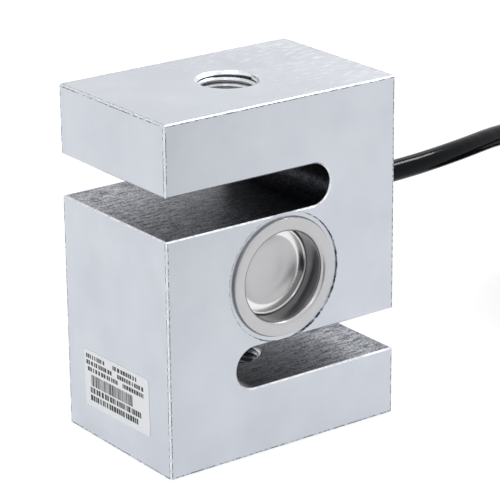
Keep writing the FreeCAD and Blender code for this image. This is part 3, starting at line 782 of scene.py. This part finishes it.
@dataclass
class Cable:
    """The cable from the gland to its bare cores, as one line. Sizes are in millimetres."""

    diameter: float = 4.8
    near_fold: float = 115.6
    run: float = 72.0
    inner_lane: float = 14.4
    turns: float = 5.5
    length: float = 3000.0
    fold_steps: int = 6
    joins_hank_at: float = 165.0
    crosses_at: tuple[float, float] = (140.0, 126.0)
    crossing_gap: float = 0.6

    def lead(self) -> list[Vector]:
        """Route from inside the gland to where the cable joins the hank."""
        return [Vector(point) for point in (
            (25.3, 0.0, 47.1), (45.2, 0.0, 47.1), (65.5, 2.6, 47.2), (84.5, 8.6, 46.4),
            (103.5, 14.2, 43.0), (122.0, 17.4, 38.4), (139.5, 19.0, 32.8), (157.0, 19.2, 29.0),
        )]

    def tail(self) -> list[Vector]:
        """Route from the hank's inner lane down between its runs to the cable's end."""
        return [Vector(point) for point in (
            (120.0, 13.8, 26.6), (128.5, 11.0, 22.2), (137.0, 8.0, 16.2), (145.0, 5.9, 10.0),
            (153.5, 4.6, 5.0), (162.5, 3.9, 3.0), (171.5, 3.5, 2.8),
        )]

    def lane(self, radius: float, low_first: bool, near_first: bool, start: float) -> list[Vector]:
        """Points of one lane of the hank, folded round and round while it climbs or sinks.

        Args:
            radius: Radius of the folds.
            low_first: Whether the lane starts at the floor and climbs.
            near_first: Whether the first fold is the one beside the block.
            start: Length of the lane before its first fold.

        Returns:
            The points that stand round the folds.
        """
        fold = math.pi * radius
        pitch = self.diameter / (2 * (self.run + fold))
        bottom = self.diameter / 2
        top = bottom + self.turns * self.diameter
        step = math.pi / self.fold_steps
        outside = radius / math.cos(step / 2)
        points = []
        for k in range(int(2 * self.turns)):
            near = (k % 2 == 0) == near_first
            for j in range(self.fold_steps):
                travelled = start + k * (self.run + fold) + (j + 0.5) * fold / self.fold_steps
                height = bottom + pitch * travelled if low_first else top - pitch * travelled
                turn = math.pi / 2 - (j + 0.5) * step
                across = outside * math.sin(turn) * (-1 if near else 1)
                reach = outside * math.cos(turn)
                along = self.near_fold - reach if near else self.near_fold + self.run + reach
                points.append(Vector((along, across, height)))
        return points

    def route(self) -> list[Vector]:
        """Joins the stretches of the cable.

        Returns:
            The whole cable's points, in millimetres.
        """
        outer_lane = self.inner_lane + self.diameter
        bottom = self.diameter / 2
        joined_after = self.near_fold + self.run - self.joins_hank_at
        crossing = [Vector((self.crosses_at[0], -outer_lane, bottom)),
                    Vector((self.crosses_at[1], -self.inner_lane - self.crossing_gap, bottom))]
        return (self.lead() + self.lane(outer_lane, False, False, joined_after) + crossing
                + self.lane(self.inner_lane, True, True, 0.0) + self.tail())

    def build(self) -> None:
        curve = bpy.data.curves.new("signal_cable", "CURVE")
        curve.dimensions = "3D"
        curve.bevel_depth = 1.0
        curve.bevel_resolution = 6
        curve.resolution_u = 6
        curve.use_fill_caps = True
        spline = curve.splines.new("NURBS")
        route = self.route()
        spline.points.add(len(route) - 1)
        for point, place in zip(spline.points, route):
            point.co = (*(place * MM), 1.0)
            point.radius = self.diameter / 2 * MM
        spline.order_u = 3
        spline.use_endpoint_u = True
        cable = bpy.data.objects.new("signal_cable", curve)
        bpy.context.scene.collection.objects.link(cable)
        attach(cable, BODY)
        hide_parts("cable_lead", "cable_hank", "cable_tail")
        # Glossy soft PVC: nearly black, with a slight waviness that breaks its one bright streak.
        jacket = Polymer("extruded_black_pvc", "#05070B", "#0B0E14", 0.12, 3.5, 0.2, 1.53, 0.08)
        dress(cable, jacket.material())


LAMP_TARGET = Vector((0, 0, 0.04))


@dataclass(frozen=True)
class Lamp:
    """Square soft lamp that faces the object, in metres. A radiance of 1 shows as plain white.

    One that casts no light only shines in glossy surfaces.
    """

    name: str
    place: tuple[float, float, float]
    size: float
    radiance: float
    casts_light: bool

    def build(self) -> None:
        """Hangs the lamp."""
        data = bpy.data.lights.new(self.name, "AREA")
        data.size = self.size
        data.energy = self.radiance * math.pi * self.size ** 2
        lamp = bpy.data.objects.new(self.name, data)
        bpy.context.scene.collection.objects.link(lamp)
        lamp.location = self.place
        lamp.visible_diffuse = self.casts_light
        lamp.rotation_euler = (Vector(self.place) - LAMP_TARGET).to_track_quat("Z", "Y").to_euler()


LAMPS = (
    Lamp("overhead_softbox", (-0.3, -0.1, 1.3), 0.8, 0.6, True),
    Lamp("side_softbox", (0.64, 0.02, 0.82), 0.26, 22.0, False),
    Lamp("rear_lamp", (0.70, 0.66, 0.64), 0.12, 3.0, False),
    Lamp("front_lamp", (-0.42, -0.9, 0.72), 0.14, 10.0, True),
)


@dataclass
class Studio:
    """Pale floor, white surroundings, a dark board and the camera."""

    azimuth_deg: float = -36.268
    elevation_deg: float = 19.759
    roll_deg: float = 0.546
    distance: float = 0.53192
    right_offset: float = 0.004275
    up_offset: float = 0.000457
    lens_mm: float = 180.34
    board_corner: tuple[float, float, float] = (-0.03, -0.07, 0.001)
    board_side: float = 0.4
    board_heading: tuple[float, float] = (0.59, -0.81)
    floor_reach: float = 3.0
    floor_glow: float = 0.42
    room_light: float = 0.75

    def build_camera(self) -> None:
        """Places the camera."""
        low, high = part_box("s_block")
        azimuth, elevation = math.radians(self.azimuth_deg), math.radians(self.elevation_deg)
        back = Vector((math.sin(azimuth) * math.cos(elevation),
                       -math.cos(azimuth) * math.cos(elevation),
                       math.sin(elevation)))
        level = Vector((0, 0, 1)).cross(back).normalized()
        right = Matrix.Rotation(-math.radians(self.roll_deg), 3, back) @ level
        up = back.cross(right)
        data = bpy.data.cameras.new("view")
        data.lens = self.lens_mm
        data.sensor_width = 36.0
        data.clip_end = 20.0
        camera = bpy.data.objects.new("view", data)
        bpy.context.scene.collection.objects.link(camera)
        camera.rotation_euler = Matrix((right, up, back)).transposed().to_euler()
        aside = right * self.right_offset + up * self.up_offset
        camera.location = (low + high) / 2 + aside + back * self.distance
        bpy.context.scene.camera = camera

    def build_floor(self) -> None:
        """Lays the floor."""
        reach = self.floor_reach
        corners = [Vector((x * reach, y * reach, 0)) for x, y in ((-1, -1), (1, -1), (1, 1), (-1, 1))]
        floor = self.sheet("floor", corners)
        made, tree, shader = blank_material("matt_white_floor")
        shader.inputs["Roughness"].default_value = 0.9
        shader.inputs["Specular IOR Level"].default_value = 0.1
        shader.inputs["Base Color"].default_value = linear("#EEEEEE")
        shader.inputs["Emission Color"].default_value = (1, 1, 1, 1)
        glow = add_node(tree, "Math", {"operation": "MULTIPLY", 1: self.floor_glow},
                        {0: self.seen(tree)})
        tree.links.new(glow, shader.inputs["Emission Strength"])
        floor.data.materials.append(made)

    @staticmethod
    def seen(tree: bpy.types.NodeTree) -> bpy.types.NodeSocket:
        """Finds what the camera sees, directly or through a reflection or glass.

        Args:
            tree: Node tree of a material or of the surroundings.

        Returns:
            Socket that is 1 for it.
        """
        path = add_node(tree, "LightPath", {}, {}).node.outputs
        direct = add_node(tree, "Math", {"operation": "MAXIMUM"},
                          {0: path["Is Camera Ray"], 1: path["Is Glossy Ray"]})
        return add_node(tree, "Math", {"operation": "MAXIMUM"},
                        {0: direct, 1: path["Is Transmission Ray"]})

    def build_board(self) -> None:
        """Lays a dark board before the object that shows only as the dark shapes in polished metal."""
        across, along = (reach * self.board_side for reach in self.board_heading)
        corner = Vector(self.board_corner)
        arms = ((0, 0), (across, along), (0, 2 * along), (-across, along))
        corners = [corner + Vector((x, y, 0)) for x, y in arms]
        board = self.sheet("dark_board", corners)
        board.visible_camera = board.visible_diffuse = board.visible_shadow = False
        made, _, shader = blank_material("black_felt")
        shader.inputs["Base Color"].default_value = linear("#2C2D31")
        shader.inputs["Roughness"].default_value = 1.0
        shader.inputs["Specular IOR Level"].default_value = 0.0
        board.data.materials.append(made)

    @staticmethod
    def sheet(name: str, corners: list[Vector]) -> bpy.types.Object:
        """Makes a flat piece of the studio.

        Args:
            name: Name of the piece.
            corners: Its four corners, in metres.

        Returns:
            The piece, which is not attached to the object's body.
        """
        mesh = bpy.data.meshes.new(name)
        mesh.from_pydata(corners, [], [(0, 1, 2, 3)])
        piece = bpy.data.objects.new(name, mesh)
        bpy.context.scene.collection.objects.link(piece)
        return piece

    def build_world(self) -> None:
        """Makes the white surroundings."""
        world = bpy.data.worlds.new("white_room")
        bpy.context.scene.world = world
        world.use_nodes = True
        tree = world.node_tree
        background = tree.nodes["Background"]
        level = add_node(tree, "MapRange", {"To Min": self.room_light, "To Max": 1.0},
                         {"Value": self.seen(tree)})
        tree.links.new(level, background.inputs["Strength"])
        background.inputs["Color"].default_value = (1, 1, 1, 1)

    def build(self) -> None:
        """Builds the floor, the surroundings, the board and the lamps."""
        bpy.context.scene.view_settings.view_transform = "Standard"
        self.build_floor()
        self.build_world()
        self.build_board()
        for lamp in LAMPS:
            lamp.build()


class Fittings:
    """The pieces whose solids already have their full form, and which only need their finish."""

    finishes: dict[Metal | Polymer, tuple[str, ...]] = {
        # Warm white metal with crisp highlights.
        Metal("nickel_plated_brass", "#C8C6C0", "#B9B6AE", 0.24, 1.2): ("gland_body", "gland_nut"),
        # Soft bright solder skin over fine wire.
        Metal("tinned_copper_wire", "#BFC0C2", "#A9A49C", 0.35, 0.8): (
            "tinned_ends", "shield_drain", "front_bridge_wires", "rear_bridge_wires", "cross_wires",
            "supply_wires"),
        # Matt black with a fine moulded grain.
        Polymer("moulded_nitrile_rubber", "#17171A", "#222226", 0.6, 0.6, 0.02): ("gland_grommet",),
        # Milky and half matt.
        Polymer("moulded_natural_nylon", "#DDDCD2", "#D2D0C4", 0.42, 1.5, 0.02, 1.53): ("hank_tie",),
        # Black with a slight orange-peel skin from the heat.
        Polymer("shrunk_polyolefin", "#101114", "#1B1C20", 0.45, 1.0, 0.03): ("end_sleeve",),
        # Smooth, glossy coloured insulation.
        Polymer("extruded_red_pvc", "#B3231D", "#A01C18", 0.3, 2.0, 0.01, 1.53): ("red_core",),
        Polymer("extruded_black_core_pvc", "#17181B", "#202126", 0.3, 2.0, 0.01, 1.53): ("black_core",),
        Polymer("extruded_green_pvc", "#1E7A45", "#17693A", 0.3, 2.0, 0.01, 1.53): ("green_core",),
        Polymer("extruded_white_pvc", "#E4E3DE", "#D9D7D0", 0.3, 2.0, 0.01, 1.53): (
            "white_core", "inner_leads"),
        # Glossy amber film.
        Polymer("polyimide_film", "#C08A33", "#A87224", 0.3, 1.0, 0.004, 1.7): (
            "front_shear_gauge", "rear_shear_gauge"),
        # Cloudy, half clear rubber.
        Polymer("silicone_coat", "#DAD9D2", "#CFCEC6", 0.35, 1.5, 0.02, 1.41, 0.5, 0.6): (
            "front_gauge_coat", "rear_gauge_coat"),
        # Green lacquer over woven glass.
        Polymer("glass_epoxy_board", "#1F6B3C", "#195C33", 0.4, 0.4, 0.01, 1.55): (
            "front_terminal_strip", "rear_terminal_strip", "compensation_board"),
        # Dark glaze with small highlights.
        Polymer("glazed_chip_ceramic", "#1B1C20", "#26272B", 0.3, 0.5, 0.005, 1.7): ("trim_resistors",),
    }

    def build(self) -> None:
        """Dresses each piece."""
        for finish, nodes in self.finishes.items():
            material = finish.material()
            for name in nodes:
                dress(frame["nodes"][name], material)


@dataclass
class Label:
    """The label's film and its print, which is plain dashes and bars. Sizes are in millimetres."""

    length: float = 24.1
    height: float = 12.6
    middle: tuple[float, float] = (0.35, 13.4)
    tilt_deg: float = -1.3
    film: float = 0.1
    ink: float = 0.015
    seed: int = 7

    def build(self) -> None:
        """Dresses the film and prints on it."""
        # Smooth, bright white and half glossy, with dense matt black print.
        film = Polymer("white_polyester_film", "#FBFDFF", "#F5F8FC", 0.35, 3.0, 0.01, 1.6)
        dress(frame["nodes"]["label_sticker"], film.material())
        printed = mesh_piece("label_print", *self.print_mesh())
        ink = Polymer("thermal_transfer_ink", "#0E0F11", "#1A1B1E", 0.5, 0.5, 0.003, 1.5)
        dress(printed, ink.material())

    def fields(self) -> list[tuple[float, float, float, float]]:
        """Draws the marks by lot, from a fixed seed.

        Returns:
            (start, end, top, bottom) of each, in shares of the label's length and height.
        """
        draw = random.Random(self.seed)
        fields = []
        rows = ((0.10, 0.075, ((0.03, 0.33), (0.45, 0.85))),
                (0.215, 0.075, ((0.03, 0.45), (0.52, 0.92))),
                (0.33, 0.075, ((0.05, 0.53), (0.60, 0.94))),
                (0.70, 0.10, ((0.08, 0.88),)), (0.84, 0.10, ((0.08, 0.85),)))
        for middle, height, spans in rows:
            for start, end in spans:
                while start < end - 0.02:
                    width = draw.uniform(0.014, 0.034)
                    stop = min(start + width, end)
                    fields.append((start, stop, middle - height / 2, middle + height / 2))
                    start += width + draw.choice((0.009, 0.009, 0.02))
        bar = 0.10
        while bar < 0.75:
            width = draw.choice((0.008, 0.008, 0.014, 0.02))
            fields.append((bar, bar + width, 0.42, 0.62))
            bar += width + draw.choice((0.006, 0.010))
        return fields

    def print_mesh(self) -> tuple[list[Vector], list[tuple[int, ...]]]:
        """Builds each printed mark as a thin box on the film.

        Returns:
            Points, in metres, and faces.
        """
        low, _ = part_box("label_sticker")
        tilt = math.radians(self.tilt_deg)
        points, faces = [], []
        for start, end, top, bottom in self.fields():
            first = len(points)
            for out in (-self.ink, self.film / 2):
                for share, drop in ((start, top), (end, top), (end, bottom), (start, bottom)):
                    along, up = (0.5 - share) * self.length, (0.5 - drop) * self.height
                    y = self.middle[0] + along * math.cos(tilt) - up * math.sin(tilt)
                    z = self.middle[1] + along * math.sin(tilt) + up * math.cos(tilt)
                    points.append(Vector((low.x + out * MM, y * MM, z * MM)))
            faces += [tuple(first + k for k in (3, 2, 1, 0)), tuple(first + k for k in (4, 5, 6, 7))]
            for k in range(4):
                turn = (k + 1) % 4
                faces.append((first + k, first + turn, first + 4 + turn, first + 4 + k))
        return points, faces


def report_size() -> None:
    """Updates the view layer."""
    bpy.context.view_layer.update()


def main() -> None:
    """Builds the camera and the cable first, then every other sub-assembly."""
    logging.basicConfig(level=logging.INFO, format="%(message)s")
    studio = Studio()
    studio.build_camera()
    Cable().build()
    SensorBlock().build()
    cup_boxes = [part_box(SealingCup(side).node) for side in Side]
    stainless = DrawnStainless().material(cup_boxes[0][0], cup_boxes[1][1])
    # Dull grey metal with fine ripples.
    weld = Metal("fused_weld_bead", "#A4A7AC", "#6C6F75", 0.35, 0.6, 0.03).material()
    for side in Side:
        SealingCup(side).build(stainless, weld)
    Fittings().build()
    Label().build()
    studio.build()
    report_size()


if __name__ == "__main__":
    main()
